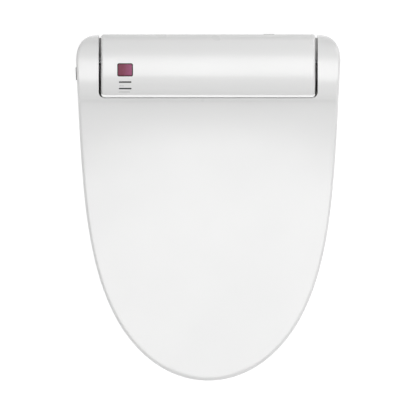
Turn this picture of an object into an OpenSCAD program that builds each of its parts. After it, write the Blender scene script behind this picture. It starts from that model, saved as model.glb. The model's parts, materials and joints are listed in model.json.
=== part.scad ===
// Electric bidet seat: heated seat ring and lid hinged on a low rear housing.
// X runs across the seat, +Y towards the cistern and +Z up. The origin is midway
// between the two bowl bolts, on the surface that the seat rests on.

/* [Overall] */
// Width across the two side arms of the lid
lid_width = 380; // [376:1:384]
// From the bolt line forward to the front edge of the lid
front_reach = 435; // [425:1:445]
// From the bolt line back to the rear face of the housing
rear_reach = 64; // [63:0.5:66]
// How much each side of the outline narrows per millimetre towards the front
side_taper = 0.046; // [0.042:0.002:0.05]

/* [Hinge] */
// Distance of the hinge axis behind the bolt line
hinge_y = 25; // [24.5:0.5:25.5]
// Height of the hinge axis
hinge_z = 65; // [65:0.5:66]
// Radius of the housing's round front about the hinge axis
barrel_r = 85; // [84.5:0.5:85]
// Radius of the hinge shafts
shaft_r = 5; // [4.5:0.5:5]

/* [Housing] */
// Width of the middle of the housing, between the lid's arms
housing_w = 308; // [306:1:309]
// Wall thickness of the moulded shells
wall = 3; // [2.5:0.5:3]
// Height of the joint line between casing and cover
split_z = 48; // [47:0.5:49]

/* [Nozzles] */
// Angle of the two spray nozzles below the horizontal
nozzle_angle = 35; // [34:0.5:36]
// Outer radius of a nozzle tube
nozzle_r = 6.5; // [6.2:0.1:6.5]
// How far a nozzle comes out
nozzle_travel = 80; // [60:1:80]

/* [Bowl fixing] */
// Distance between the two bowl bolts
bolt_spacing = 140; // [135:1:145]
// Radius of the bolt hole in each sliding washer
bolt_hole_r = 4.25; // [4:0.05:4.5]

/* [Hidden] */
$fn = 48;

// Clearances
run_gap = 0.05;      // a turning or sliding fit
joint_gap = 0.4;     // between moulded pieces that move past each other
sweep_gap = 2;       // between the barrel front and what swings round it

// Outline of the lid, seen from above
corner_x = 156;      // where the rounded rear corner starts
corner_power = 2.4;
front_power = 4.1;   // how squarely the sides turn in to the front tip
lid_wall = 3.5;
notch_half = housing_w / 2 + 3.5;
notch_y = -26;       // front edge of the notch that the housing fills
swing_r = barrel_r + sweep_gap;

function near(c, a, b) = [c + a, c + b];
function on_hinge(r, a) = [hinge_y + r * cos(a), hinge_z + r * sin(a)];
function arc(c, r, a0, a1, n = 12) =
    [for (i = [0:n]) let (a = a0 + (a1 - a0) * i / n) [c[0] + r * cos(a), c[1] + r * sin(a)]];
function mirrored(points) =
    [for (i = [len(points) - 1:-1:0]) if (points[i][0] > 0.01) [-points[i][0], points[i][1]]];

// One half of the outline from its rear middle round to the front tip
function half_plan(inset) = concat(
    [for (a = [90:-9:9])
        [corner_x + (lid_width / 2 - inset - corner_x) * pow(cos(a), 2 / corner_power),
         hinge_y + (rear_reach - 1.5 - inset - hinge_y) * pow(sin(a), 2 / corner_power)]],
    [for (a = [0, 0.5, 2, 4, 7, 11, 15, 20, 25, 30, 36, 42, 48, 54, 60, 66, 72, 77, 82, 86, 90])
        let (reach = front_reach + hinge_y - inset, d = reach * pow(sin(a), 2 / front_power))
        [(lid_width / 2 - inset - side_taper * d) * cos(a), hinge_y - d]]);
function plan(inset) = let (half = half_plan(inset)) concat(half, mirrored(half));

module along_x(x0, x1) {
    translate([x0, 0, 0]) rotate([90, 0, 90]) linear_extrude(x1 - x0) children();
}
module rod_x(r, x0, x1, y, z) {
    translate([x0, y, z]) rotate([0, 90, 0]) cylinder(r = r, h = x1 - x0);
}
module rod_y(r, y0, y1, x, z) {
    translate([x, y0, z]) rotate([-90, 0, 0]) cylinder(r = r, h = y1 - y0);
}
module rod_z(r, z0, z1, x, y) {
    translate([x, y, z0]) cylinder(r = r, h = z1 - z0);
}
module block(x, y, z) {
    translate([x[0], y[0], z[0]]) cube([x[1] - x[0], y[1] - y[0], z[1] - z[0]]);
}
module both_sides() {
    children();
    mirror([1, 0, 0]) children();
}
module tube_between(a, b, r) {
    v = b - a;
    length = norm(v);
    translate(a) rotate([0, acos(v[2] / length), atan2(v[1], v[0])]) cylinder(r = r, h = length, $fn = 24);
}
// A bent pipe: straight runs with a ball joint at every bend, wide enough to hold the corner;
// each ball is turned so that its seam is on the outside of the bend
function unit(v) = v / norm(v);
module pipe(points, r) {
    for (i = [0:len(points) - 2]) tube_between(points[i], points[i + 1], r);
    for (i = [1:len(points) - 2]) {
        outside = unit(points[i] - points[i - 1]) - unit(points[i + 1] - points[i]);
        translate(points[i]) rotate([0, 0, atan2(outside[1], outside[0])]) sphere(r = 1.45 * r, $fn = 24);
    }
}

// ---------------------------------------------------------------- housing

// Side view of the middle of the housing, shrunk by inset
rear_top_r = 110;
rear_corner_r = 14;
rear_turn = acos((rear_reach - rear_corner_r - hinge_y) / (rear_top_r - rear_corner_r));
module housing_profile(inset, low, high) {
    rear_c = [hinge_y, hinge_z + barrel_r - rear_top_r];
    corner_c = rear_c + (rear_top_r - rear_corner_r) * [cos(rear_turn), sin(rear_turn)];
    intersection() {
        polygon(concat(
            arc([hinge_y, hinge_z], barrel_r - inset, 240, 90, 36),
            arc(rear_c, rear_top_r - inset, 88, rear_turn, 6),
            arc(corner_c, rear_corner_r - inset, rear_turn - 8, 0, 8),
            [[rear_reach - inset, low - 20]]));
        translate([-100, low]) square([200, high - low]);
    }
}

floor_z = 2;
wing_x = 188;
wing_top = 42;
wing_rear_top = 18;
ear_clear_r = 40.5;   // the lid arm's round heel turns inside this
rear_wall_y = rear_reach - 3;

module wing_profile(inset) {
    difference() {
        intersection() {
            polygon(concat(
                [on_hinge(barrel_r - inset, 195)],
                arc([hinge_y, hinge_z], barrel_r - inset, 196, 240, 10),
                [[rear_wall_y - inset, floor_z + inset], [rear_wall_y - inset, wing_rear_top - inset],
                 [hinge_y + 8, wing_rear_top - inset], [hinge_y - 40, wing_top - inset]]));
            translate([-100, floor_z + inset]) square([200, wing_top - floor_z - 2 * inset]);
        }
        translate([hinge_y, hinge_z]) circle(r = ear_clear_r + inset);
    }
}
module wings(inset) {
    intersection() {
        along_x(-wing_x, wing_x) wing_profile(inset);
        linear_extrude(100) polygon(plan(2 + inset));
    }
}

// Posts that the cover is screwed down on
posts = [[148, 50], [-148, 50], [98, -20], [-98, -20], [30, 54], [-30, 54]];
post_r = 4.5;
screw_r = 1.8;

// Underside channel for the mounting plate
plate_half = 80;
flange_half = 85;
plate_front = -28;
plate_z = 4.4;
plate_top = 8.4;
channel_roof = 12;
module channel(grow) {
    block([-plate_half - grow, plate_half + grow], [plate_front - grow, rear_reach + 5], [-1, plate_z]);
    block([-flange_half - grow, flange_half + grow], [plate_front - grow, rear_reach + 5],
          [plate_z - grow, plate_top + grow]);
}

// Places that more than one piece shares
inlet_x = -125;
inlet_y = 40;
inlet_r = 10.48;
gland_x = 88;
gland_z = 26;
drain_x = -62;
button_y = 8.5;
button_z = 15;
release_y = 34;
release_z = 11;
tower_x = [145, 150.5];
vent_x = [106, 140];

module base_casing() color("whitesmoke") difference() {
    union() {
        difference() {
            union() {
                along_x(-housing_w / 2, housing_w / 2) housing_profile(0, floor_z, split_z);
                wings(0);
            }
            along_x(-housing_w / 2 + wall, housing_w / 2 - wall)
                housing_profile(wall, floor_z + wall, split_z + 1);
            wings(wall);
        }
        // raised floor over the mounting plate
        block([-flange_half - 4, flange_half + 4], [plate_front - 4, rear_reach - 1],
            [floor_z, channel_roof]);
        for (p = posts) rod_z(post_r, floor_z, split_z, p[0], p[1]);
        // roof of the pocket round the water inlet
        rod_z(18, floor_z, 24, inlet_x, inlet_y);
        both_sides() block(tower_x, [hinge_y - 17, hinge_y + 17], [floor_z, hinge_z + 16]);
    }
    channel(joint_gap);
    for (p = posts) {
        rod_z(screw_r + 0.2, floor_z - 1, split_z + 1, p[0], p[1]);
        rod_z(3.6, floor_z - 1, floor_z + 3, p[0], p[1]);
    }
    rod_z(15, floor_z - 1, 21, inlet_x, inlet_y);
    rod_z(7, 20, 25, inlet_x, inlet_y);
    both_sides() rod_x(shaft_r + 0.3, tower_x[0] - 1, tower_x[1] + 1, hinge_y, hinge_z);
    rod_y(5.5, rear_reach - 10, rear_reach + 1, gland_x, gland_z);
    rod_y(6.5, rear_reach - 10, rear_reach + 1, drain_x, gland_z);
    // nozzle outlets, with room under each for its rack
    for (x = nozzle_x) nozzle_frame(x) {
        rod_y(nozzle_r + 0.6, -6, 12, 0, 0);
        block([-3, 3], [-6, 12], [-10.2, 0]);
    }
    dryer_outlet(0);
    // bolt slots and finger room over the plate's bolts
    both_sides() block([bolt_spacing / 2 - 14, bolt_spacing / 2 + 14], [-22, 22],
        [plate_top, channel_roof + 1]);
    // side button, release button and deodorizer filter
    side_button_hole(0.4);
    release_hole(0.4);
    block([140, 200], filter_y + [-0.5, 0.5], filter_z + [-0.5, 0.5]);
    for (z = [18:4:30]) block(vent_x, [-70, -40], [z, z + 2]);
    for (z = [22:5:37]) block(vent_x, [rear_reach - 10, rear_reach + 1], [z, z + 2.4]);
}

display_x = -119.4;
window_y = 12.7;
window_size = [22.3, 18.7];
lens_y = [-4.8, -14.1];
lens_size = [18, 1.9];

module rounded(size, r, h) {
    linear_extrude(h) union() {
        square([size[0] - 2 * r, size[1]], center = true);
        square([size[0], size[1] - 2 * r], center = true);
        for (x = [-1, 1], y = [-1, 1])
            translate([x * (size[0] / 2 - r), y * (size[1] / 2 - r)]) circle(r = r);
    }
}
// A plug through the cover, trimmed flush with its outside and set in by depth
module cover_plug(x, y, size, r, depth, low) {
    intersection() {
        translate([x, y, low]) rounded(size, r, 40);
        along_x(x - size[0], x + size[0]) housing_profile(depth, low, 200);
    }
}

module top_cover() color("white") difference() {
    union() {
        difference() {
            along_x(-housing_w / 2, housing_w / 2) housing_profile(0, split_z + 0.6, 200);
            along_x(-housing_w / 2 + wall, housing_w / 2 - wall) housing_profile(wall, split_z - 1, 200);
        }
        intersection() {
            for (p = posts) rod_z(post_r, split_z + 0.6, 160, p[0], p[1]);
            along_x(-housing_w / 2, housing_w / 2) housing_profile(wall / 2, split_z, 200);
        }
        // inner frames under the window and the two lenses
        cover_plug(display_x, window_y, window_size + [5, 5], 3, wall / 2, 137);
    }
    for (p = posts) rod_z(screw_r - 0.2, split_z - 1, 70, p[0], p[1]);
    both_sides() rod_x(shaft_r + 2, housing_w / 2 - 10, housing_w / 2 + 1, hinge_y, hinge_z);
    translate([display_x, window_y, 120]) rounded(window_size + [0.3, 0.3], 2.6, 50);
    for (y = lens_y) translate([display_x, y, 110]) rounded(lens_size + [0.2, 0.2], 0.95, 60);
}

module cover_gasket() color("gray") difference() {
    along_x(-housing_w / 2 + 0.6, housing_w / 2 - 0.6) housing_profile(0.6, split_z, split_z + 0.6);
    along_x(-housing_w / 2 + 2.4, housing_w / 2 - 2.4) housing_profile(2.4, split_z - 1, split_z + 2);
    for (p = posts) rod_z(post_r + 0.5, split_z - 1, split_z + 2, p[0], p[1]);
}

module display_bezel() color([0.16, 0.13, 0.14]) difference() {
    cover_plug(display_x, window_y, window_size, 2.5, 0, 134);
    translate([display_x, window_y, 120]) rounded(window_size - [2.6, 2.6], 1.4, 50);
}

module receiver_window() color([0.55, 0.2, 0.36]) 
    cover_plug(display_x, window_y, window_size - [2.7, 2.7], 1.35, 0.4, 138);

module indicator_lenses() color([0.25, 0.26, 0.27])
    for (y = lens_y) cover_plug(display_x, y, lens_size, 0.9, 0, 130);

module display_board() color("darkgreen") difference() {
    union() {
        block(near(display_x, -16, 16), [-20, 26], [126.4, 128]);
        rod_z(4, 128, 134, display_x, window_y);
        for (y = lens_y, x = [-5, 5]) rod_z(0.9, 128, 129.6, display_x + x, y);
    }
    for (x = [-14, 14]) rod_z(1.2, 120, 130, display_x + x, 23);
}

// ---------------------------------------------------------------- electronics

module board(x, y, z, parts) {
    difference() {
        block(x, y, [z, z + 1.6]);
        for (p = posts) rod_z(post_r + 0.6, z - 1, z + 3, p[0], p[1]);
    }
    for (p = parts) translate([p[0], p[1], z + 1.6]) cube(p[2]);
}
board_z = 98;
module control_board() color("seagreen")
    board([-142, -30], [-20, 44], board_z, [
        [-136, -10, [30, 18, 9]], [-98, 12, [12, 12, 2.4]], [-80, -10, [16, 24, 3]],
        [-58, 20, [14, 10, 11]], [-40, -14, [7, 22, 8]], [-136, 22, [22, 8, 9]], [-60, -12, [10, 14, 14]]]);
module power_supply() color("seagreen") union() {
    board([32, 142], [-20, 44], board_z, [
        [44, -8, [28, 24, 20]], [80, 12, [22, 18, 16]], [112, -12, [18, 12, 12]],
        [118, 20, [14, 14, 14]], [60, 26, [12, 8, 8]]]);
    for (x = [84, 134]) rod_z(5, board_z + 1.6, board_z + 16, x, -8);
}

module wiring_loom() color([0.2, 0.2, 0.22]) union() {
    pipe([[-108, 24, board_z + 1.7], [-108, 24, 105], [-108, 27, 113], [-108, 24, 121],
        [-108, 24, 126.3]], 1.4);
    pipe([[-36, 36, board_z + 1.7], [-36, 36, 108], [36, 36, 108], [36, 36, board_z + 1.7]], 1.6);
    pipe([[gland_x, 54.5, gland_z], [gland_x, 46, gland_z], [96, 40, 60], [96, 40, board_z - 0.7]], 2.2);
    pipe([[-34, -14, board_z - 0.7], [-34, -19, 60], [-24, -20, 46], [-24, -20, 38]], 1.4);
}

// ---------------------------------------------------------------- water

tank_x = [-92, -40];
tank_y = [-12, 44];
tank_z = [14, 62];
valve_y = [26, 52];

module water_heater() color("ivory") difference() {
    union() {
        block(tank_x, tank_y, tank_z);
        // clamped lid flange and its two ports
        block(tank_x + [-2, 2], tank_y + [-2, 2], [50, 54]);
        rod_x(4, tank_x[0] - 4, tank_x[0] + 1, 34, 34);
        rod_x(4, tank_x[1] - 1, tank_x[1] + 8, -4, 44);
        rod_z(9, 62, 70, -66, 6);
        rod_z(3, 62, 74, -62, 30);
    }
    block(tank_x + [2.5, -2.5], tank_y + [2.5, -2.5], [16.5, 59.5]);
}

module inlet_valve() color("dimgray") difference() {
    union() {
        rod_z(13, 27.2, 38, inlet_x, inlet_y);
        block([-140, -108], valve_y, [30, 44]);
        rod_z(9, 44, 52, -117, inlet_y);
        rod_x(4, -108.5, -106, 34, 34);
    }
    rod_z(5, 26, 34, inlet_x, inlet_y);
}

module inlet_fitting() color("gold") difference() {
    union() {
        rod_z(inlet_r, 3.5, 21, inlet_x, inlet_y);
        rod_z(13.5, 19, 21, inlet_x, inlet_y);
        rod_z(6.8, 20, 27, inlet_x, inlet_y);
    }
    rod_z(4.5, 0, 30, inlet_x, inlet_y);
}

module diverter_valve() color("lightgray") union() {
    block([-28, 28], [4, 22], [14, 26]);
    rod_z(8, 26, 38, -18, 13);
    for (x = [2, 10]) rod_z(3, 26, 31, x, 13);
}

module water_pipes() color("lightcyan") union() {
    rod_x(3, -105.9, tank_x[0] - 4.1, 34, 34);
    pipe([[tank_x[1] + 8.1, -4, 44], [-27, -4, 44], [-33, 13, 32], [-33, 13, 20], [-28.1, 13, 20]], 2.5);
    for (side = [-1, 1]) pipe([[side < 0 ? 2 : 10, 13, 31.1], [side < 0 ? 2 : 10, 13, 37],
        [side * 22, 25, 46],
        [side * 22, 50, 62], [side * 22, 56, 92], nozzle_point(side * nozzle_x[1], feed_end + 4, 0),
        nozzle_point(side * nozzle_x[1], feed_end + 0.1, 0)], 2);
}

module drain_plug() color("lightgray") union() {
    rod_y(6.3, rear_reach - 9, rear_reach, drain_x, gland_z);
    block(near(drain_x, -4.5, 4.5), [rear_reach - 1, rear_reach + 0.9], near(gland_z, -1.2, 1.2));
}

module cord_gland() color("black") difference() {
    union() {
        rod_y(5.4, rear_reach - 9, rear_reach + 1, gland_x, gland_z);
        rod_y(8, rear_reach + 0.05, rear_reach + 1.6, gland_x, gland_z);
        rod_y(7, rear_reach - 5.5, rear_reach - 3.1, gland_x, gland_z);
    }
    rod_y(3.75, rear_reach - 12, rear_reach + 3, gland_x, gland_z);
}

// ---------------------------------------------------------------- nozzles

nozzle_x = [-10, 10];
nozzle_exit = on_hinge(barrel_r, 208);
nozzle_s = [1.5, 119.5];      // tip and tail at rest, measured back from the barrel face
collar_s = [[5, 15.5], [36.5, 44]];
bracket_s = [120.5, 126.5];
feed_r = 2.4;
feed_end = 128;

// Local frame of a nozzle: +Y back along its axis from the barrel face, +Z square to it
module nozzle_frame(x) {
    translate([x, nozzle_exit[0], nozzle_exit[1]]) rotate([nozzle_angle, 0, 0]) children();
}
function nozzle_point(x, s, z) = [x,
    nozzle_exit[0] + s * cos(nozzle_angle) - z * sin(nozzle_angle),
    nozzle_exit[1] + s * sin(nozzle_angle) + z * cos(nozzle_angle)];

// Rack and pinion, module 0.8 with shortened teeth so that 16 teeth need no undercut
gear_m = 0.8;
gear_teeth = 16;
gear_pitch_r = gear_m * gear_teeth / 2;
gear_add = 0.8 * gear_m;
gear_ded = gear_add + 0.25;
gear_half = PI * gear_m / 4 - 0.06;    // half a tooth at the pitch line, less backlash
pressure = 20;
rack_line = 8.6;                        // pitch line below the nozzle's axis
pinion_s = 26;
pinion_z = -rack_line - gear_pitch_r;
rack_s = [21, 112];

function involute_turn(r) =
    let (rb = gear_pitch_r * cos(pressure), t = sqrt(max(0, pow(r / rb, 2) - 1)))
    t * 180 / PI - atan(t);
function tooth_angle(r) = gear_half / gear_pitch_r * 180 / PI
    + involute_turn(gear_pitch_r) - involute_turn(r);
module gear_outline() {
    root_r = gear_pitch_r - gear_ded;
    rb = gear_pitch_r * cos(pressure);
    top_r = gear_pitch_r + gear_add;
    radii = [root_r, for (i = [0:3]) rb + (top_r - rb) * i / 3];
    polygon([for (k = [0:gear_teeth - 1]) let (mid = 90 + k * 360 / gear_teeth) each concat(
        [for (r = radii) let (a = mid - tooth_angle(max(r, rb))) r * [cos(a), sin(a)]],
        [for (i = [len(radii) - 1:-1:0])
            let (r = radii[i], a = mid + tooth_angle(max(r, rb))) r * [cos(a), sin(a)]])]);
}
module pinion(x) color("white") nozzle_frame(x) translate([0, pinion_s, pinion_z]) {
    difference() {
        along_x(-2, 2) gear_outline();
        rod_x(1, -3, 3, 0, 0);
    }
    outward = sign(x);
    rod_x(1.5, min(outward * 2, outward * 11), max(outward * 2, outward * 11), 0, 0);
    rod_x(1, -2, 2, 0, 0);
}
module rack_teeth() {
    pitch = PI * gear_m;
    slope = tan(pressure);
    first = ceil((rack_s[0] - pinion_s) / pitch - 0.5);
    last = floor((rack_s[1] - pinion_s) / pitch - 0.5);
    for (k = [first:last]) let (s = pinion_s + (k + 0.5) * pitch)
        translate([0, s, 0]) along_x(-2, 2) polygon([
            [-gear_half - slope * gear_ded - 0.05, -rack_line + gear_ded + 0.15],
            [-gear_half + slope * gear_add, -rack_line - gear_add],
            [gear_half - slope * gear_add, -rack_line - gear_add],
            [gear_half + slope * gear_ded + 0.05, -rack_line + gear_ded + 0.15]]);
}
module nozzle(x) color("silver") nozzle_frame(x) {
    difference() {
        union() {
            rod_y(nozzle_r, nozzle_s[0] + 14, nozzle_s[1], 0, 0);
            block([-2, 2], rack_s, [-rack_line + gear_ded, -4]);
        }
        rod_y(feed_r + 0.4, 25, nozzle_s[1] + 1, 0, 0);
    }
    rack_teeth();
}
module nozzle_tip(x, holes) color("whitesmoke") nozzle_frame(x) difference() {
    union() {
        rod_y(nozzle_r, nozzle_s[0] + 1.5, nozzle_s[0] + 14, 0, 0);
        rod_y(nozzle_r - 1, nozzle_s[0], nozzle_s[0] + 2, 0, 0);
    }
    block([-3, 3], near(nozzle_s[0], 4, 10), [nozzle_r - 0.6, nozzle_r + 1]);
    for (h = holes) rod_z(0.45, nozzle_r - 3, nozzle_r + 1, h[0], nozzle_s[0] + 7 + h[1]);
}
module rear_nozzle() nozzle(nozzle_x[0]);
module front_nozzle() nozzle(nozzle_x[1]);
module rear_nozzle_tip() nozzle_tip(nozzle_x[0], [[-1, 0], [1, 0]]);
module front_nozzle_tip() nozzle_tip(nozzle_x[1], [for (a = [0:72:288]) 1.7 * [cos(a), sin(a)]]);
module rear_pinion() pinion(nozzle_x[0]);
module front_pinion() pinion(nozzle_x[1]);

module feed_tube(x) color("silver") nozzle_frame(x) difference() {
    rod_y(feed_r, 28, feed_end, 0, 0);
    rod_y(feed_r - 0.8, 27, feed_end + 1, 0, 0);
}
module rear_feed_tube() feed_tube(nozzle_x[0]);
module front_feed_tube() feed_tube(nozzle_x[1]);

module nozzle_motors() color("silver") for (x = nozzle_x) nozzle_frame(x)
    translate([0, pinion_s, pinion_z]) mirror([x < 0 ? 1 : 0, 0, 0]) difference() {
        union() {
            rod_x(9.6, 4, 17, 0, 0);
            rod_x(3, 3.2, 4, 0, 0);
            block([5, 8], [-9.5, 9.5], [-2.6, 2.1]);
        }
        rod_x(1.5 + run_gap, 3, 11.5, 0, 0);
    }

module nozzle_cradle() color("gainsboro") difference() {
    union() {
        nozzle_frame(0) {
            for (s = collar_s) block([-19, 19], s, [-12.5, 8.6]);
            block([-2.4, 2.4], [collar_s[0][0], bracket_s[1]], [-12.5, 4]);
            block([-19, 19], [collar_s[1][0], bracket_s[0] - 0.5], [-15, -12.5]);
            block([-15.2, 15.2], [bracket_s[0] - 2, bracket_s[0] + 1], [-15, -12]);
            block([-15.2, 15.2], bracket_s, [-12.5, 6]);
        }
        // legs down to the casing floor
        block([-18.6, 18.6], [-41, -34.5], [channel_roof + 0.2, 25]);
        block([-14.4, 14.4], [26, 32], [channel_roof + 0.2, 64]);
    }
    for (x = nozzle_x) nozzle_frame(x) {
        rod_y(nozzle_r + run_gap, 0, bracket_s[0] - 0.01, 0, 0);
        block([-2.6, 2.6], [0, bracket_s[0] - 0.01], [-10.1, 0]);
        rod_y(feed_r, bracket_s[0] - 1, bracket_s[1] + 2, 0, 0);
    }
    // the front legs stop behind the barrel wall
    block([-30, 30], [-60, 60], [-10, channel_roof + 0.2]);
    outside_barrel();
}
module outside_barrel() difference() {
    block([-60, 60], [-90, hinge_y], [-20, hinge_z]);
    rod_x(barrel_r - wall - 0.3, -61, 61, hinge_y, hinge_z);
}

// ---------------------------------------------------------------- dryer

dryer_x = [44, 70];
fan_y = 20;
fan_z = 60;
fan_r = 30;
duct_drop = 11.8;
flap_pivot = on_hinge(barrel_r - 3.2, 200.5);
flap_len = 17;
flap_lean = 26;      // degrees from hanging straight down to lying along the barrel

module dryer_outlet(grow) {
    along_x(dryer_x[0] - 0.5 - grow, dryer_x[1] + 0.5 + grow) polygon([
        on_hinge(barrel_r + 4, 197.5), on_hinge(barrel_r + 4, 215),
        on_hinge(barrel_r - 8, 215.5), on_hinge(barrel_r - 8, 197.5)]);
}
module duct_profile(grow) {
    polygon([[hinge_y - 70.5 - 0, 18.5 - grow], [10, 31 - grow], [30, 34 - grow], [30, 52 + grow],
             [10, 49 + grow], [hinge_y - 72.2, 37 + grow]]);
}
module dryer_housing() color("gainsboro") difference() {
    intersection() {
        union() {
            rod_x(fan_r, dryer_x[0], dryer_x[1], fan_y, fan_z);
            along_x(dryer_x[0], dryer_x[1]) duct_profile(1.5);
            block(dryer_x, [fan_y - 4, fan_y + 4], [channel_roof + 0.2, 34]);
        }
        rod_x(barrel_r - wall - 0.4, dryer_x[0] - 1, dryer_x[1] + 1, hinge_y, hinge_z);
    }
    rod_x(fan_r - 2, dryer_x[0] + 2, dryer_x[1] - 2, fan_y, fan_z);
    along_x(dryer_x[0] + 2, dryer_x[1] - 2) duct_profile(-0.5);
    // air intake on one side and motor hole on the other
    rod_x(14, dryer_x[0] - 1, dryer_x[0] + 3, fan_y, fan_z);
    rod_x(6, dryer_x[1] - 3, dryer_x[1] + 1, fan_y, fan_z);
    dryer_outlet(-2);
    rod_x(1.4 + run_gap, dryer_x[0] - 1, dryer_x[1] + 1, flap_pivot[0], flap_pivot[1]);
}
module dryer_motor() color("silver") difference() {
    rod_x(14, dryer_x[1] + 0.1, dryer_x[1] + 20, fan_y, fan_z);
    rod_x(2 + run_gap, dryer_x[1] - 1, dryer_x[1] + 10, fan_y, fan_z);
}
module dryer_impeller() color("white") {
    difference() {
        union() {
            rod_x(22, dryer_x[1] - 5, dryer_x[1] - 3.2, fan_y, fan_z);
            rod_x(6, dryer_x[1] - 14, dryer_x[1] - 3.2, fan_y, fan_z);
        }
        rod_x(2, dryer_x[0], dryer_x[1], fan_y, fan_z);
    }
    rod_x(2, dryer_x[1] - 14, dryer_x[1] + 9.5, fan_y, fan_z);
    for (a = [0:20:340]) translate([0, fan_y, fan_z]) rotate([a, 0, 0])
        translate([dryer_x[0] + 6, 15, -0.5]) rotate([18, 0, 0])
            cube([dryer_x[1] - dryer_x[0] - 10.8, 7, 1]);
}
module dryer_heater() color("darkorange") difference() {
    along_x(dryer_x[0] + 2.3, dryer_x[1] - 2.3) polygon([[-22, 25.8], [-8, 28.8], [-8, 43.8], [-22, 40.8]]);
    for (x = [dryer_x[0] + 4:3.2:dryer_x[1] - 5]) block([x, x + 1.7], [-30, 0], [27.5, 42]);
}
module dryer_flap() color("white") translate([0, flap_pivot[0], flap_pivot[1]]) rotate([flap_lean, 0, 0]) {
    block(dryer_x + [2.4, -2.4], [-1.2, 0.6], [-flap_len, -0.6]);
    rod_x(1.4, dryer_x[0] + 0.9, dryer_x[1] - 0.9, 0, 0);
}

// ---------------------------------------------------------------- deodorizer

filter_y = [-38, -17];
filter_z = [14, 33];
deo_fan = [122, 8];
module deodorizer_housing() color("gainsboro") difference() {
    intersection() {
        union() {
            block([103, 144], filter_y + [-3, 3], filter_z + [-3, 3]);
            block([103, 142], [-16, 28], [7, 30]);
        }
        rod_x(barrel_r - wall - 0.4, 100, 150, hinge_y, hinge_z);
    }
    block([104.5, 150], filter_y + [-1, 1], filter_z + [-1, 1]);
    block([107, 138], [-30, 1], [16, 28]);
    rod_z(17, 11, 31, deo_fan[0], deo_fan[1]);
    block([107, 138], [20, 40], [14, 28]);
    block([107, 138], [-60, -36], [16, 30]);
}
module deodorizer_motor() color("silver") difference() {
    rod_z(8, 31, 41, deo_fan[0], deo_fan[1]);
    rod_z(1.5 + run_gap, 30, 38, deo_fan[0], deo_fan[1]);
}
module deodorizer_impeller() color("white") {
    rod_z(15.5, 12.2, 13.8, deo_fan[0], deo_fan[1]);
    rod_z(4, 13.8, 24, deo_fan[0], deo_fan[1]);
    rod_z(1.5, 24, 37.5, deo_fan[0], deo_fan[1]);
    for (a = [0:30:330]) translate([deo_fan[0], deo_fan[1], 13.8]) rotate([0, 0, a])
        translate([3.5, -0.5, -0.4]) cube([11.5, 1, 10.4]);
}
module deodorizer_cartridge() color("white") difference() {
    union() {
        block([106, 180], filter_y + [0.6, -0.6], filter_z + [0.6, -0.6]);
        intersection() {
            block([178, 190], filter_y, filter_z);
            linear_extrude(60) polygon(plan(2.2));
        }
    }
    // carbon bed openings and a finger recess
    for (x = [110:7:138]) block([x, x + 5], [-60, 0], filter_z + [4, -4]);
    block([183.5, 200], [-34, -22], [20, 27]);
}

// ---------------------------------------------------------------- fixing and controls

module casing_screws() color("silver") for (p = posts) difference() {
    union() {
        rod_z(3.4, floor_z + 0.6, floor_z + 3, p[0], p[1]);
        rod_z(screw_r - 0.2, floor_z + 3, 64, p[0], p[1]);
    }
    block(near(p[0], -2.2, 2.2), near(p[1], -0.4, 0.4), near(floor_z, 0, 1.6));
    block(near(p[0], -0.4, 0.4), near(p[1], -2.2, 2.2), near(floor_z, 0, 1.6));
}
module base_pads() color("dimgray") for (x = [-136, 136], y = [-8, 20])
    rod_z(7, 0, floor_z, x * 0.8, y);

module mounting_plate() color("lightgray") difference() {
    union() {
        block([-plate_half, plate_half], [plate_front, 44], [0, plate_z]);
        block([-flange_half, flange_half], [plate_front, 44], [plate_z, plate_top]);
    }
    // slots that let each bolt washer slide fore and aft
    both_sides() {
        block(near(bolt_spacing / 2, -6.5, 6.5), [-18, 18], [-1, plate_top + 1]);
        block(near(bolt_spacing / 2, -9.4, 9.4), [-22, 22], [3, plate_top + 1]);
    }
    // open middle, with the notch that the release button's tooth locks into
    block([-plate_open, plate_open], [plate_front - 1, release_y + 5], [-1, plate_top + 1]);
    block([plate_open - 1, plate_open + 6], [release_y - 3, release_y + 3], [-1, plate_top + 1]);
}
module bolt_washers() color("gray") both_sides() difference() {
    union() {
        block(near(bolt_spacing / 2, -9, 9), [-11, 11], [3.1, 7.4]);
        rod_z(6.3, 0, 5, bolt_spacing / 2, 0);
    }
    rod_z(bolt_hole_r, -1, 10, bolt_spacing / 2, 0);
}

// Side button: a wedge that stands proud of the lid's outline, fullest at its rear end
button_len = 18.6;
button_h = 11;
module side_button_hole(grow) {
    translate([-wing_x - 5, button_y, button_z]) rotate([0, 90, 0])
        rounded([button_h + 2 * grow, button_len + 2 * grow], 3, 18);
}
module side_button() color([0.1, 0.1, 0.1]) intersection() {
    translate([-wing_x - 6, button_y, button_z]) rotate([0, 90, 0]) rounded([button_h, button_len], 3, 12);
    linear_extrude(40) polygon([
        [-wing_x + 5, button_y - 10], [-wing_x + 5, button_y + 10], [-191.4, button_y + 10],
        [-191.8, button_y + 7.5], [-191.5, button_y], [-190.2, button_y - 10]]);
}
module button_switch() color("darkgreen") union() {
    block([-178.5, -177], [button_y - 9, button_y + 9], [6, 21]);
    block([-180.6, -178.5], [button_y - 3, button_y + 3], [12, 18]);
}

// Release button: at rest its tooth sits in a notch of the mounting plate; pressed in, the
// tooth moves on into the plate's open middle and the housing can slide off forwards
plate_open = 40;
module release_hole(grow) {
    translate([wing_x - 20, release_y, release_z]) rotate([0, 90, 0])
        rounded([9 + 2 * grow, 18 + 2 * grow], 3, 24);
    block([plate_open - 9, 182], [release_y - 3 - grow, release_y + 3 + grow], [plate_top, 13]);
}
module release_button() color("silver") union() {
    intersection() {
        translate([wing_x - 8, release_y, release_z]) rotate([0, 90, 0]) rounded([9, 18], 3, 8);
        linear_extrude(40) polygon(plan(1.6));
    }
    block([plate_open + 1, wing_x - 6], [release_y - 2.6, release_y + 2.6], [9.2, 11.8]);
    block([plate_open + 1, plate_open + 5], [release_y - 2.6, release_y + 2.6], [4.8, 9.2]);
}

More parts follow.
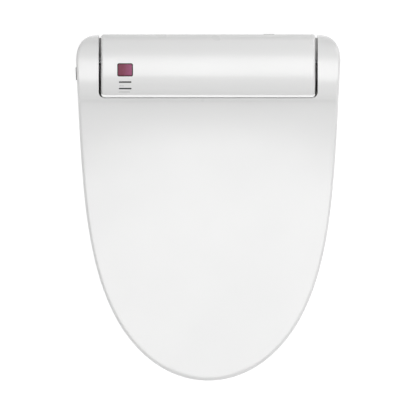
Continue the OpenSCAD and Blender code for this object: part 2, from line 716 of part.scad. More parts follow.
// ---------------------------------------------------------------- hinges

arm_x = [164, 172];          // the seat ring's hinge arms
ear_outer = lid_width / 2 - lid_wall;
shaft_end = ear_outer - 1;
damper_r = 11;

module damper(side) color("dimgray") {
    x0 = side > 0 ? 96 : -tower_x[0] + 0.1;
    x1 = side > 0 ? tower_x[0] - 0.1 : -96;
    difference() {
        rod_x(damper_r, x0, x1, hinge_y, hinge_z);
        rod_x(shaft_r + run_gap, side > 0 ? 120 : -160, side > 0 ? 160 : -120, hinge_y, hinge_z);
    }
}
module lid_damper() damper(-1);
module seat_damper() damper(1);

// The two flats that key a shaft into the piece that it turns with
module flat_key(x0, x1, grow) {
    intersection() {
        rod_x(shaft_r + grow, x0, x1, hinge_y, hinge_z);
        block([x0, x1], near(hinge_y, -shaft_r - 1, shaft_r + 1), near(hinge_z, -3.4 - grow, 3.4 + grow));
    }
}
// Left shaft: turns with the lid. Right shaft: turns with the seat ring.
module lid_damper_shaft() color("silver") mirror([1, 0, 0]) {
    rod_x(shaft_r, 121, ear_outer - 12, hinge_y, hinge_z);
    flat_key(ear_outer - 12.5, ear_outer - 1, 0);
}
module seat_damper_shaft() color("silver") {
    rod_x(shaft_r, 121, arm_x[0] - 0.5, hinge_y, hinge_z);
    flat_key(arm_x[0] - 1, arm_x[1] + 0.5, 0);
    rod_x(3.3, arm_x[1], ear_outer - 1, hinge_y, hinge_z);
}
module seat_arm_bush() color("ivory") mirror([1, 0, 0]) difference() {
    rod_x(7, arm_x[0], arm_x[1], hinge_y, hinge_z);
    rod_x(shaft_r + run_gap, arm_x[0] - 1, arm_x[1] + 1, hinge_y, hinge_z);
}
module lid_arm_bush() color("ivory") difference() {
    rod_x(6, ear_outer - 10, ear_outer - 1, hinge_y, hinge_z);
    rod_x(3.3 + run_gap, ear_outer - 11, ear_outer, hinge_y, hinge_z);
}

// ---------------------------------------------------------------- seat ring

seat_inset = 5;
seat_bottom = 14;
seat_joint = 19;
seat_front_z = 44;
seat_rear_z = 64;
opening_c = -232;
opening_half = [104, 136];
arch_half = 100;
arch_z = 32;
function seat_top(y) = seat_front_z + (seat_rear_z - seat_front_z) * (y + front_reach) / (front_reach - 61);
function opening(grow) = [for (a = [0:6:354])
    [sign(cos(a)) * (opening_half[0] + grow) * pow(abs(cos(a)), 2 / 2.4),
     opening_c + sign(sin(a)) * (opening_half[1] + grow) * pow(abs(sin(a)), 2 / 2.4)]];

module seat_volume(inset, low, drop) {
    difference() {
        intersection() {
            linear_extrude(120) difference() {
                polygon(plan(seat_inset + inset));
                polygon(opening(inset));
            }
            along_x(-200, 200) polygon([[-front_reach - 5, low], [0, low], [0, seat_top(0) - drop],
                [-front_reach - 5, seat_top(-front_reach - 5) - drop]]);
        }
        rod_x(swing_r + inset, -220, 220, hinge_y, hinge_z);
        block([-arch_half - inset, arch_half + inset], [-110, 0], [-10, arch_z + inset]);
    }
}
module seat_arm_outline(grow) {
    polygon([[hinge_y, hinge_z + 12 + grow], [-10, 67 + grow], [-80 - grow, 58 + grow], [-80 - grow, 15],
        [-66 + grow, 15], [-66 + grow, 45 - grow], [-10, 52 - grow], [hinge_y, hinge_z - 12 - grow]]);
}
module seat_arms(grow) {
    both_sides() difference() {
        union() {
            along_x(arm_x[0] - grow, arm_x[1] + grow) seat_arm_outline(grow);
            rod_x(12 + grow, arm_x[0] - grow, arm_x[1] + grow, hinge_y, hinge_z);
        }
    }
}
module seat_top_shell() color("white") difference() {
    seat_volume(0, seat_joint, 0);
    seat_volume(3, seat_joint - 6, 3);
    seat_arms(0.3);
}
module seat_bottom_shell() color("whitesmoke") difference() {
    union() {
        difference() {
            seat_volume(0, seat_bottom, 0);
            block([-200, 200], [-500, 100], [seat_joint - 0.2, 120]);
            seat_volume(2.6, seat_bottom + 2.6, 0);
        }
        intersection() {
            difference() {
                seat_volume(3.2, seat_bottom + 1, 4);
                seat_volume(5.4, seat_bottom, 4);
            }
            block([-200, 200], [-500, 100], [seat_bottom, seat_joint + 5]);
        }
        seat_arms(0);
    }
    rod_x(7, -arm_x[1] - 1, -arm_x[0] + 1, hinge_y, hinge_z);
    flat_key(arm_x[0] - 1, arm_x[1] + 1, 0.02);
}
module seat_heater() color("darkorange") difference() {
    seat_volume(8, seat_joint + 8, 3.4);
    seat_volume(7, seat_joint + 7, 4.4);
    block([-200, 200], [-95, 0], [-10, 120]);
    block([-2, 2], [-500, -300], [0, 120]);
}
bumper_places = [[140, -150], [112, -338]];
lid_bumper_places = [[136, -150], [108, -338]];
module seat_bumpers() color("gray") both_sides() for (p = bumper_places)
    translate([p[0], p[1], 0]) rotate([0, 0, p[1] < -300 ? -25 : 0])
        rounded([14, 40], 6, seat_bottom - 0.01);

// ---------------------------------------------------------------- lid

lid_front_z = 64;
lid_slope = 0.12;
lid_rise = 18;         // extra height gained over the rear third, as the slope steepens
lid_rise_len = 70;
lid_step = 6;          // how much the lid's rear edge kicks up to meet the housing
lid_step_len = 9;
lid_crown = 6;         // how much lower the top is at the sides than in the middle
edge_r = 5;
skirt_front_z = 42;
skirt_rear_z = 60;
heel_r = 38;
lid_rear = rear_reach - 0.5;
span = front_reach + hinge_y;

// Half-width of the lid's outline at y, and how it slants there
function half_width(y, inset) = let (d = hinge_y - y)
    d >= 0 ? (lid_width / 2 - inset - side_taper * d) * sqrt(max(0, 1 - pow(d / (span - inset), front_power)))
    : corner_x + (lid_width / 2 - inset - corner_x)
        * pow(max(0, 1 - pow(-d / (lid_rear - inset - hinge_y), corner_power)), 1 / corner_power);
function slant(y, inset) = (half_width(y + 0.2, inset) - half_width(y - 0.2, inset)) / 0.4;
function round_drop(gap) = gap >= edge_r ? 0 : edge_r - sqrt(max(0, pow(edge_r, 2) - pow(edge_r - gap, 2)));

// Height of the lid's outer surface down the middle line, ears included
ear_side = [[-18, 141.2], [-8, 145.2], [2, 147.8], [12, 149], [24, 149.2], [34, 148.4], [43, 146.6],
    [50, 143.6], [55, 139.6], [59, 133.6], [61.6, 126], [lid_rear, 108]];
function lid_line(y) = lid_front_z + lid_slope * (y + front_reach)
    + lid_rise * exp((y - notch_y) / lid_rise_len) + lid_step * exp((y - notch_y) / lid_step_len);
function lid_top(y) = y <= notch_y ? lid_line(y)
    : lookup(y, concat([[notch_y, lid_line(notch_y)]], ear_side));
function crown(y) = lid_crown * min(1, max(0, (notch_y - 8 - y) / 110));
function skirt(y) = skirt_front_z + (skirt_rear_z - skirt_front_z) * (y + front_reach) / front_reach;

rows = concat([0.3, 1, 2.2, 4, 6.5, 10.5, 15.5, 22, 32, 46, 66, 92, 124, 160, 200, 240, 280, 312, 338,
    358, 374, 386, 395, 402, 406, 409], [for (e = ear_side) e[0] + front_reach - 0.02]);
across = [0, 0.25, 0.5, 0.7, 0.84, 0.93, 0.97, 0.985, 0.995, 1];
ribs = [for (i = [len(across) - 1:-1:1]) -across[i], for (a = across) a];

function lid_point(s, y, inset) = let (w = half_width(y, inset), x = w * s,
        gap = (w - abs(x)) / sqrt(1 + pow(slant(y, inset), 2)), tip = y + front_reach - inset)
    [x, y, lid_top(y) - inset - crown(y) * pow(x / 190, 2)
        - max(round_drop(gap), y > 0 ? 0 : round_drop(tip))];
module lid_block(inset, low) {
    n = len(ribs);
    ys = [for (r = rows) min(inset > 0 ? -front_reach + inset + r * (1 - inset / 400) : -front_reach + r,
        lid_rear - inset - 0.02)];
    points = [for (y = ys) each concat([for (s = ribs) lid_point(s, y, inset)],
        [[half_width(y, inset), y, low], [-half_width(y, inset), y, low]])];
    m = n + 2;
    last = (len(ys) - 1) * m;
    polyhedron(points, concat(
        [for (j = [0:len(ys) - 2], i = [0:m - 1]) let (a = j * m, k = (i + 1) % m)
            each [[a + i, a + m + i, a + m + k], [a + i, a + m + k, a + k]]],
        [[for (i = [0:m - 1]) i]],
        [[for (i = [m - 1:-1:0]) last + i]]), convexity = 6);
}
// Everything above the skirt line and ahead of the ears' round heels
module lid_lower_limit() {
    along_x(-250, 250) difference() {
        polygon(concat([[-500, skirt(-500)], [-500, 200], [200, 200], [200, hinge_z]],
            arc([hinge_y, hinge_z], heel_r, 0, -122, 14),
            [[-40, skirt(-40)]]));
    }
}
boss_r = 10;
module lid() color("white") difference() {
    union() {
        difference() {
            intersection() {
                lid_block(0, 0);
                lid_lower_limit();
            }
            difference() {
                lid_block(lid_wall, -20);
                // inner webs of the two ears
                both_sides() block([notch_half - 1, notch_half + 3], [notch_y - 6, 100], [0, 200]);
            }
        }
        both_sides() rod_x(boss_r, ear_outer - 11, ear_outer + 1.5, hinge_y, hinge_z);
        both_sides() for (p = lid_bumper_places)
            rod_z(7.5, seat_top(p[1]) + 6, lid_top(p[1]) - 5, p[0], p[1]);
    }
    // notch for the housing; its front edge follows the swing about the hinge
    block([-notch_half, notch_half], [notch_y, 100], [0, 200]);
    rod_x(swing_r, -notch_half, notch_half, hinge_y, hinge_z);
    both_sides() rod_x(shaft_r + 1.5, notch_half - 1, notch_half + 4, hinge_y, hinge_z);
    mirror([1, 0, 0]) flat_key(ear_outer - 12, ear_outer - 0.8, 0.02);
    rod_x(6, ear_outer - 12, ear_outer - 0.8, hinge_y, hinge_z);
}
module lid_bumpers() color("gray") both_sides() for (p = lid_bumper_places)
    rod_z(6, seat_top(p[1]) + 0.5, seat_top(p[1]) + 5.95, p[0], p[1]);

base_casing();
top_cover();
cover_gasket();
display_bezel();
receiver_window();
indicator_lenses();
display_board();
control_board();
power_supply();
water_heater();
inlet_valve();
inlet_fitting();
diverter_valve();
water_pipes();
nozzle_cradle();
nozzle_motors();
rear_feed_tube();
front_feed_tube();
dryer_housing();
dryer_motor();
dryer_heater();
deodorizer_housing();
deodorizer_motor();
lid_damper();
seat_damper();
cord_gland();
drain_plug();
casing_screws();
base_pads();
mounting_plate();
bolt_washers();
button_switch();
side_button();
release_button();
deodorizer_cartridge();
deodorizer_impeller();
dryer_impeller();
dryer_flap();
rear_nozzle();
rear_nozzle_tip();
rear_pinion();
front_nozzle();
front_nozzle_tip();
front_pinion();
seat_top_shell();
seat_bottom_shell();
seat_heater();
seat_bumpers();
seat_damper_shaft();
seat_arm_bush();
lid();
lid_bumpers();
lid_damper_shaft();
lid_arm_bush();
wiring_loom();
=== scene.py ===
"""Electric bidet seat: smooth visible shells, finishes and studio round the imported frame."""

import json
import math

import bpy
import numpy as np
from bpy.props import FloatProperty, PointerProperty
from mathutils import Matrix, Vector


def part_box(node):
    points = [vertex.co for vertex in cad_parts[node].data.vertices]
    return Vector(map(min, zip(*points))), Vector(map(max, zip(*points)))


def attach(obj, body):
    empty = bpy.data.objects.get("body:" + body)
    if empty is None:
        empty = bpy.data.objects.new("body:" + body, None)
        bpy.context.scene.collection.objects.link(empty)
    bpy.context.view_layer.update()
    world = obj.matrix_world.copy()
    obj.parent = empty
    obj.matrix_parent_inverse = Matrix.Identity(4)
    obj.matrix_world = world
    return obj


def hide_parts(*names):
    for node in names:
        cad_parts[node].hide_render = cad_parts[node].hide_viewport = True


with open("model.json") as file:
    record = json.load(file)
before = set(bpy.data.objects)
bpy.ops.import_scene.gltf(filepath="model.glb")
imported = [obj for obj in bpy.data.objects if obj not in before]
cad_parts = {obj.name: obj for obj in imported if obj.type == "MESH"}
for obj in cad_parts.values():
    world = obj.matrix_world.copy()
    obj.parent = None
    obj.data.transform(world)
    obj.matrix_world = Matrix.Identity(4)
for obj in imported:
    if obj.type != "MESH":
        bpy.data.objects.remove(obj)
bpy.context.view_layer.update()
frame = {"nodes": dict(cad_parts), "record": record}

bl_info = {
    "name": "Electric bidet seat",
    "version": (1, 0, 0),
    "blender": (4, 5, 0),
    "location": "View3D > Sidebar > Bidet seat",
    "description": "Builds the shells, finishes and studio of an electric bidet seat",
    "category": "Object",
}

MM = 0.001

# ------------------------------------------------------------------ shared shape rules
# All lengths in millimetres, along the frame's axes: +Y towards the cistern, +Z up.

LID_HALF = 190.0
TAPER = 0.046
FRONT_POWER = 4.1
FRONT = -435.0
HINGE_Y, HINGE_Z = 25.0, 65.0
BARREL_R = 85.0
REAR = 64.0
LID_REAR = 63.5
NOTCH_HALF = 157.5
NOTCH_Y = -26.0
NOTCH_FRONT, NOTCH_CORNER = -27.9, 9.0
LID_WALL = 3.5
HOUSING_HALF = 154.0
HOUSING_WALL = 3.0
SEAM_Z = 48.6
SHAFT_SIDES = 48                 # facets round the shafts' holes
CORNER_X, CORNER_POWER = 156.0, 2.4


def corner_half(y, inset):
    """Half-width of the ears behind the hinge, where their corners round off."""
    t = min(1.0, (y - HINGE_Y) / (LID_REAR - inset - HINGE_Y))
    return CORNER_X + (LID_HALF - inset - CORNER_X) * (1 - t ** CORNER_POWER) ** (1 / CORNER_POWER)


def half_width(y, inset=0.0):
    """Half-width of the lid's outline at y."""
    d = HINGE_Y - y
    if d < 0:
        return corner_half(y, inset)
    span = HINGE_Y - FRONT - inset
    return (LID_HALF - inset - TAPER * d) * math.sqrt(max(0.0, 1 - (d / span) ** FRONT_POWER))


def outline(inset, count=400):
    """The right half of the outline, from the rear to the front tip."""
    t = np.linspace(0, 1, count)
    ys = (FRONT + inset) + (LID_REAR - inset - FRONT - inset) * (np.sin(t * math.pi - math.pi / 2) + 1) / 2
    ys = ys[::-1]
    return np.array([[half_width(y, inset), y] for y in ys])


def distance_to(curve, x, y):
    """Distance from points to a polyline on the right-hand side."""
    px, py = np.abs(np.asarray(x)), np.asarray(y)
    a, b = curve[:-1], curve[1:]
    ab = b - a
    length2 = np.maximum((ab ** 2).sum(1), 1e-12)
    best = np.full(px.shape, 1e9)
    for k in range(len(a)):
        t = np.clip(((px - a[k, 0]) * ab[k, 0] + (py - a[k, 1]) * ab[k, 1]) / length2[k], 0, 1)
        best = np.minimum(best, np.hypot(px - a[k, 0] - t * ab[k, 0], py - a[k, 1] - t * ab[k, 1]))
    return best


def round_drop(gap, radius):
    """How far a rounded rim has dropped at a distance in from its outline."""
    g = np.clip(gap, 0, radius)
    return radius - np.sqrt(np.maximum(0, radius ** 2 - (radius - g) ** 2))


# ------------------------------------------------------------------ modelling helpers

def ordered(*values):
    return tuple(sorted(values))


def clear_selection():
    if bpy.context.object and bpy.context.object.mode != "OBJECT":
        bpy.ops.object.mode_set(mode="OBJECT")
    bpy.ops.object.select_all(action="DESELECT")


def focus(piece):
    clear_selection()
    piece.select_set(True)
    bpy.context.view_layer.objects.active = piece


def named(name):
    piece = bpy.context.object
    piece.name = name
    piece.data.name = name
    return piece


def settle(piece):
    """Leaves the piece at the origin, unturned and unscaled, with its place in its mesh."""
    focus(piece)
    bpy.ops.object.transform_apply(location=True, rotation=True, scale=True)


def pick(piece, rule, kind):
    """Selects the faces or edges whose corner points pass the rule, in edit mode."""
    focus(piece)
    bpy.ops.object.mode_set(mode="EDIT")
    bpy.ops.mesh.select_mode(type=kind)
    bpy.ops.mesh.select_all(action="DESELECT")
    bpy.ops.object.mode_set(mode="OBJECT")
    mesh = piece.data
    points = np.array([v.co for v in mesh.vertices]) / MM
    for item in (mesh.polygons if kind == "FACE" else mesh.edges):
        item.select = bool(rule(points[list(item.vertices)]))
    bpy.ops.object.mode_set(mode="EDIT")
    bpy.ops.mesh.select_mode(type=kind)


def leave_edit():
    bpy.ops.object.mode_set(mode="OBJECT")


def add_block(name, x, y, z):
    clear_selection()
    bpy.ops.mesh.primitive_cube_add(size=1, location=(sum(x) * MM / 2, sum(y) * MM / 2, sum(z) * MM / 2),
                                    scale=((x[1] - x[0]) * MM, (y[1] - y[0]) * MM, (z[1] - z[0]) * MM))
    piece = named(name)
    settle(piece)
    return piece


def add_rod_x(name, radius, x, y, z, vertices=96):
    clear_selection()
    bpy.ops.mesh.primitive_cylinder_add(vertices=vertices, radius=radius * MM, depth=(x[1] - x[0]) * MM,
                                        location=(sum(x) * MM / 2, y * MM, z * MM),
                                        rotation=(0, math.pi / 2, 0))
    piece = named(name)
    settle(piece)
    return piece


def add_profile(name, points, x):
    """A side profile, as (y, z) points, filled and extruded from x[0] to x[1]."""
    clear_selection()
    bpy.ops.mesh.primitive_circle_add(vertices=len(points), radius=1, fill_type="NGON")
    piece = named(name)
    for vertex, (py, pz) in zip(piece.data.vertices, points):
        vertex.co = (x[0] * MM, py * MM, pz * MM)
    focus(piece)
    bpy.ops.object.mode_set(mode="EDIT")
    bpy.ops.mesh.select_all(action="SELECT")
    bpy.ops.mesh.extrude_region_move(TRANSFORM_OT_translate={"value": ((x[1] - x[0]) * MM, 0, 0)})
    bpy.ops.mesh.select_all(action="SELECT")
    bpy.ops.mesh.normals_make_consistent(inside=False)
    leave_edit()
    return piece


def cut(piece, tool, operation="DIFFERENCE"):
    """Boolean with a tool piece, which is then thrown away."""
    focus(piece)
    modifier = piece.modifiers.new("cut", "BOOLEAN")
    modifier.operation = operation
    modifier.solver = "EXACT"
    modifier.object = tool
    bpy.ops.object.modifier_apply(modifier=modifier.name)
    mesh = tool.data
    bpy.data.objects.remove(tool)
    bpy.data.meshes.remove(mesh)


def smooth(piece, angle=35):
    focus(piece)
    bpy.ops.object.shade_smooth_by_angle(angle=math.radians(angle), keep_sharp_edges=False)


def hand_over(piece, body, slot, look, *nodes):
    """Gives a finished piece its body, material and the nodes that it stands for; the slot argument is not
    used.
    """
    piece.data.materials.clear()
    piece.data.materials.append(look)
    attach(piece, body)
    if nodes:
        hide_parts(*nodes)


def add_panel(name, rows, columns, coords):
    """A grid primitive with its points moved to coords, row by row."""
    clear_selection()
    bpy.ops.mesh.primitive_grid_add(x_subdivisions=columns - 1, y_subdivisions=rows - 1, size=1)
    piece = named(name)
    assert len(coords) == len(piece.data.vertices), (len(coords), len(piece.data.vertices))
    piece.data.vertices.foreach_set("co", (coords * MM).ravel())
    piece.data.update()
    return piece


def close_downwards(piece, low):
    """Draws a panel's border straight down to a flat bottom, making it solid."""
    focus(piece)
    bpy.ops.object.mode_set(mode="EDIT")
    bpy.ops.mesh.select_mode(type="EDGE")
    bpy.ops.mesh.select_all(action="SELECT")
    bpy.ops.mesh.region_to_loop()
    bpy.ops.mesh.extrude_edges_move(TRANSFORM_OT_translate={"value": (0, 0, -0.001)})
    leave_edit()
    fresh = [v for v in piece.data.vertices if v.select]
    for vertex in fresh:
        vertex.co.z = low * MM
    bpy.ops.object.mode_set(mode="EDIT")
    bpy.ops.mesh.edge_face_add()
    bpy.ops.mesh.select_all(action="SELECT")
    bpy.ops.mesh.normals_make_consistent(inside=False)
    leave_edit()


# ------------------------------------------------------------------ the lid

# The lid's middle line: a slope, a rise towards the housing and a step at the notch, with a rolled lip
LINE_FRONT_Z, LINE_SLOPE = 64, 0.12
RISE, RISE_LONG = 18, 70
STEP, STEP_LONG = 6, 9
LIP_RISE, LIP_SET, LIP_LONG = 1.0, 3.8, 2.4
LID_CROWN, CROWN_START, CROWN_LONG = 6.0, NOTCH_Y - 8, 110
RIM_R = 4.5
SKIRT_FRONT_Z, SKIRT_RISE = 42, 18
HEEL_R = 38                      # rounded lower edge of the arms, about the hinge
SWING_GAP = 2.2                  # between the housing's round front and the lid
BOSS_R, SHAFT_HOLE_R = 10, 6.5
DAMPER_SEAT_R, BUSH_SEAT_R = 5.02, 6.0


def lid_line(y):
    """Height of the lid's outer surface ahead of the notch, with its rolled rear lip."""
    d = y - NOTCH_Y
    slope = LINE_FRONT_Z + LINE_SLOPE * (y - FRONT)
    rise = RISE * math.exp(d / RISE_LONG) + STEP * math.exp(d / STEP_LONG)
    return slope + rise + LIP_RISE * math.exp(-((d + LIP_SET) / LIP_LONG) ** 2)


EAR_SIDE = (                     # y and height of the ears' outer surface, from the notch to the rear
    (-18, 141.2), (-8, 145.2), (2, 147.8), (12, 149.0), (24, 149.2), (34, 148.4), (43, 146.6), (50, 143.6),
    (55, 139.6), (59, 133.6), (61.6, 126.0), (63.5, 108.0))
LID_SIDE = tuple((y, lid_line(y)) for y in (
    -435, -400, -370, -340, -310, -280, -250, -220, -190, -165, -145, -125, -110, -96, -84, -74, -66,
    -58, -52, -47, -43, -40, -37.5, -35, -33, -31.5, -30, -28.8, -27.6, -26)) + EAR_SIDE

# Rows of the lid's panel: distances back from its front tip, then places along y.
# Columns: distances in from the rim, then shares of the half-width.
TIP_ROWS = (0.05, 0.2, 0.6, 1.2, 2.0, 3.1, 4.6, 6.4, 8.6, 11.0, 14, 18, 23, 29, 37, 47, 60)
LIP_ROWS = (-58, -54, -50, -47, -44, -41.5, -39, -37, -35, -33.5, -32, -30.5, -29, -27.6, -26.2)
EAR_ROWS = (-24, -20, -14, -8, -2, 4, 10, 16, 22, 28, 33, 38, 42, 46, 49, 52, 54.5, 56.5, 58.5, 60, 61,
            61.8, 62.4, 62.9, 63.2)
ROUND_GAPS = (0.0, 0.06, 0.24, 0.55, 1.0, 1.6, 2.4, 3.4, 4.6, 8.0)
INNER_SHARES = (0.86, 0.76, 0.64, 0.5, 0.36, 0.22, 0.1)


def side_height(y):
    """Smooth height through the side-view points."""
    ys = np.array([p[0] for p in LID_SIDE], float)
    zs = np.array([p[1] for p in LID_SIDE], float)
    slope = np.gradient(zs, ys)
    y = np.clip(np.asarray(y, float), ys[0], ys[-1])
    k = np.clip(np.searchsorted(ys, y) - 1, 0, len(ys) - 2)
    h = ys[k + 1] - ys[k]
    t = (y - ys[k]) / h
    return ((2 * t ** 3 - 3 * t ** 2 + 1) * zs[k] + (t ** 3 - 2 * t ** 2 + t) * h * slope[k]
            + (-2 * t ** 3 + 3 * t ** 2) * zs[k + 1] + (t ** 3 - t ** 2) * h * slope[k + 1])


def lid_rows(inset):
    """Every y at which the lid's panel has a row, from the front tip to the rear."""
    front, rear = FRONT + inset, LID_REAR - inset
    rows = [front + step for step in TIP_ROWS]
    rows += list(np.arange(front + 75, -110, 14.0)) + list(np.arange(-104, -60, 6.0))
    rows += LIP_ROWS
    rows += [y for y in EAR_ROWS if y < rear - 0.05]
    return rows + [rear - 0.04]


def lid_columns(y, inset):
    """Every x of one row of the lid's panel, from left to right."""
    half = half_width(y, inset)
    lean = (half_width(y + 0.1, inset) - half_width(y - 0.1, inset)) / 0.2
    stretch = math.sqrt(1 + lean * lean)
    side = [max(half - gap * stretch, half * (1 - 0.012 * k)) for k, gap in enumerate(ROUND_GAPS)]
    side += [min(half * f, side[-1] - 0.4 * (n + 1)) for n, f in enumerate(INNER_SHARES)] + [0.0]
    side = [max(0.0, x) for x in side]
    return [-x for x in side] + side[-2::-1]


def lid_solid(name, inset, low):
    """Everything under the lid's outer surface, shrunk by inset."""
    rows = lid_rows(inset)
    coords = np.array([(x, y, 0.0) for y in rows for x in lid_columns(y, inset)])
    x, y = coords[:, 0], coords[:, 1]
    crown = LID_CROWN * np.clip((CROWN_START - y) / CROWN_LONG, 0, 1) * (x / LID_HALF) ** 2
    rim = round_drop(distance_to(outline(inset), x, y), RIM_R - inset)
    coords[:, 2] = side_height(y) - inset - crown - rim
    piece = add_panel(name, len(rows), len(coords) // len(rows), coords)
    close_downwards(piece, low)
    return piece


def arc(cy, cz, radius, start, end, count):
    """Points (y, z) round part of a circle, between two angles in degrees."""
    return [(cy + radius * math.cos(math.radians(a)), cz + radius * math.sin(math.radians(a)))
            for a in np.linspace(start, end, count)]


def skirt_height(y):
    """Height of the lid's lower edge."""
    return SKIRT_FRONT_Z + SKIRT_RISE * (FRONT - y) / FRONT


def rounded_prism(name, x, y, wide, long, radius, z):
    """An upright block with rounded corners."""
    piece = add_block(name, (x - wide / 2, x + wide / 2), (y - long / 2, y + long / 2), z)
    pick(piece, lambda c: abs(c[0][2] - c[1][2]) > 1, "EDGE")
    bpy.ops.mesh.bevel(offset=radius * MM, segments=8, affect="EDGES")
    leave_edit()
    return piece


class BIDET_OT_lid(bpy.types.Operator):
    """Build the lid's one-piece shell with its two hollow hinge arms"""
    bl_idname = "bidet.lid"
    bl_label = "Lid"

    def execute(self, context):
        lid = lid_solid("lid_shell", 0.0, 10)
        hollow = lid_solid("lid_hollow", LID_WALL, -10)
        for side in (-1, 1):
            x = ordered(side * (NOTCH_HALF - 1), side * (NOTCH_HALF + 3))
            cut(hollow, add_block("web", x, (NOTCH_Y - 6, 120), (-40, 220)))
        cut(lid, hollow)
        outer = LID_HALF - LID_WALL
        for side in (-1, 1):
            x = ordered(side * (outer - 11), side * (outer + 1.5))
            cut(lid, add_rod_x("boss", BOSS_R, x, HINGE_Y, HINGE_Z, SHAFT_SIDES), "UNION")
        limit = [(-500, skirt_height(-500)), (-500, -60), (200, -60), (200, HINGE_Z)]
        limit += arc(HINGE_Y, HINGE_Z, HEEL_R, 0, -122, 30) + [(-40, skirt_height(-40))]
        cut(lid, add_profile("limit", limit, (-260, 260)))
        rear = 130
        cut(lid, rounded_prism("notch", 0, (NOTCH_FRONT + rear) / 2, 2 * NOTCH_HALF, rear - NOTCH_FRONT,
                               NOTCH_CORNER, (-10, 230)))
        swing = (-NOTCH_HALF, NOTCH_HALF)
        cut(lid, add_rod_x("swing", BARREL_R + SWING_GAP, swing, HINGE_Y, HINGE_Z, 256))
        for side, seat_r in ((-1, DAMPER_SEAT_R), (1, BUSH_SEAT_R)):
            x = ordered(side * (NOTCH_HALF - 1), side * (NOTCH_HALF + 4))
            cut(lid, add_rod_x("shaft_hole", SHAFT_HOLE_R, x, HINGE_Y, HINGE_Z, SHAFT_SIDES))
            x = ordered(side * (outer - 12), side * (outer - 0.8))
            cut(lid, add_rod_x("shaft_seat", seat_r, x, HINGE_Y, HINGE_Z, SHAFT_SIDES))
        smooth(lid, 30)
        hand_over(lid, "lid", "white_gloss", look("shell_white"), "lid")
        return {"FINISHED"}


# ------------------------------------------------------------------ the housing's cover

REAR_TOP_R = 110.0
REAR_CORNER_R = 14.0
REAR_TURN = math.degrees(math.acos((REAR - REAR_CORNER_R - HINGE_Y) / (REAR_TOP_R - REAR_CORNER_R)))
SHAFT_GAP_R = 7
WINDOW = (-119.4, 12.7, 22.3, 18.7)             # middle x and y, width and length
WINDOW_CORNER = 2.6
LENS_X, LENS_LONG, LENS_THIN = -119.4, 18.0, 1.9
LENS_ROWS = (-4.8, -14.1)
LENS_CORNER = 0.95


def housing_side(inset, low):
    """Side view of the housing's middle above a height, shrunk by inset."""
    top_c = (HINGE_Y, HINGE_Z + BARREL_R - REAR_TOP_R)
    corner = (top_c[0] + (REAR_TOP_R - REAR_CORNER_R) * math.cos(math.radians(REAR_TURN)),
              top_c[1] + (REAR_TOP_R - REAR_CORNER_R) * math.sin(math.radians(REAR_TURN)))
    start = 180 - math.degrees(math.asin((low - HINGE_Z) / (BARREL_R - inset)))
    points = arc(HINGE_Y, HINGE_Z, BARREL_R - inset, start, 90, 56)
    points += arc(*top_c, REAR_TOP_R - inset, 89, REAR_TURN + 0.5, 10)
    points += arc(*corner, REAR_CORNER_R - inset, REAR_TURN - 2, 0, 16)
    return points + [(REAR - inset, low)]


# Side view of the bead along the cover's front edge
LEDGE = ((-27.0, 132.0), (-27.0, 133.5), (-26.7, 134.2), (-26.1, 134.6), (-25.2, 134.7), (-24.2, 134.8),
         (-23.2, 135.1), (-21.5, 135.0), (-26.0, 131.7))
LEDGE_CORNER = 6.0


class BIDET_OT_cover(bpy.types.Operator):
    """Build the housing's cover with its front bead, window opening and lamp slots"""
    bl_idname = "bidet.cover"
    bl_label = "Cover"

    def execute(self, context):
        cover = add_profile("cover_shell", housing_side(0, SEAM_Z), (-HOUSING_HALF, HOUSING_HALF))
        pick(cover, lambda c: abs(c[0][0] - c[1][0]) < 0.01 and c[:, 2].max() > SEAM_Z + 0.5, "EDGE")
        bpy.ops.mesh.bevel(offset=context.scene.bidet.cover_edge, segments=6, affect="EDGES",
                           clamp_overlap=True)
        leave_edit()
        ledge = add_profile("ledge", LEDGE, (-HOUSING_HALF + 0.1, HOUSING_HALF - 0.1))
        front, rear = LEDGE[0][0], 40
        cut(ledge, rounded_prism("ledge_plan", 0, (front + rear) / 2, 2 * HOUSING_HALF - 0.2, rear - front,
                                 LEDGE_CORNER, (100, 160)), "INTERSECT")
        cut(cover, ledge, "UNION")
        inner = HOUSING_HALF - HOUSING_WALL
        hollow = housing_side(HOUSING_WALL, SEAM_Z - 5)
        cut(cover, add_profile("cover_hollow", hollow, (-inner, inner)))
        for side in (-1, 1):
            x = ordered(side * (HOUSING_HALF - 10), side * (HOUSING_HALF + 1))
            cut(cover, add_rod_x("shaft_gap", SHAFT_GAP_R, x, HINGE_Y, HINGE_Z, SHAFT_SIDES))
        x, y, wide, long = WINDOW
        cut(cover, rounded_prism("window_gap", x, y, wide + 0.3, long + 0.3, WINDOW_CORNER, (120, 170)))
        for row in LENS_ROWS:
            cut(cover, rounded_prism("lamp_gap", LENS_X, row, LENS_LONG + 0.2, LENS_THIN + 0.2,
                                     LENS_CORNER, (110, 170)))
        smooth(cover, 30)
        hand_over(cover, "housing", "white_gloss", look("shell_white"), "top_cover")
        return {"FINISHED"}


MARKS = ((-10.3, 5, 0.9), (-19.0, 11, 1.0))     # y, number of dashes and height of each printed line
DASH_PITCH, DASH_GAP = 1.45, 0.4
PRINT_PROUD, PRINT_DEEP = 0.06, 0.1
PRINT_SIDES = 720


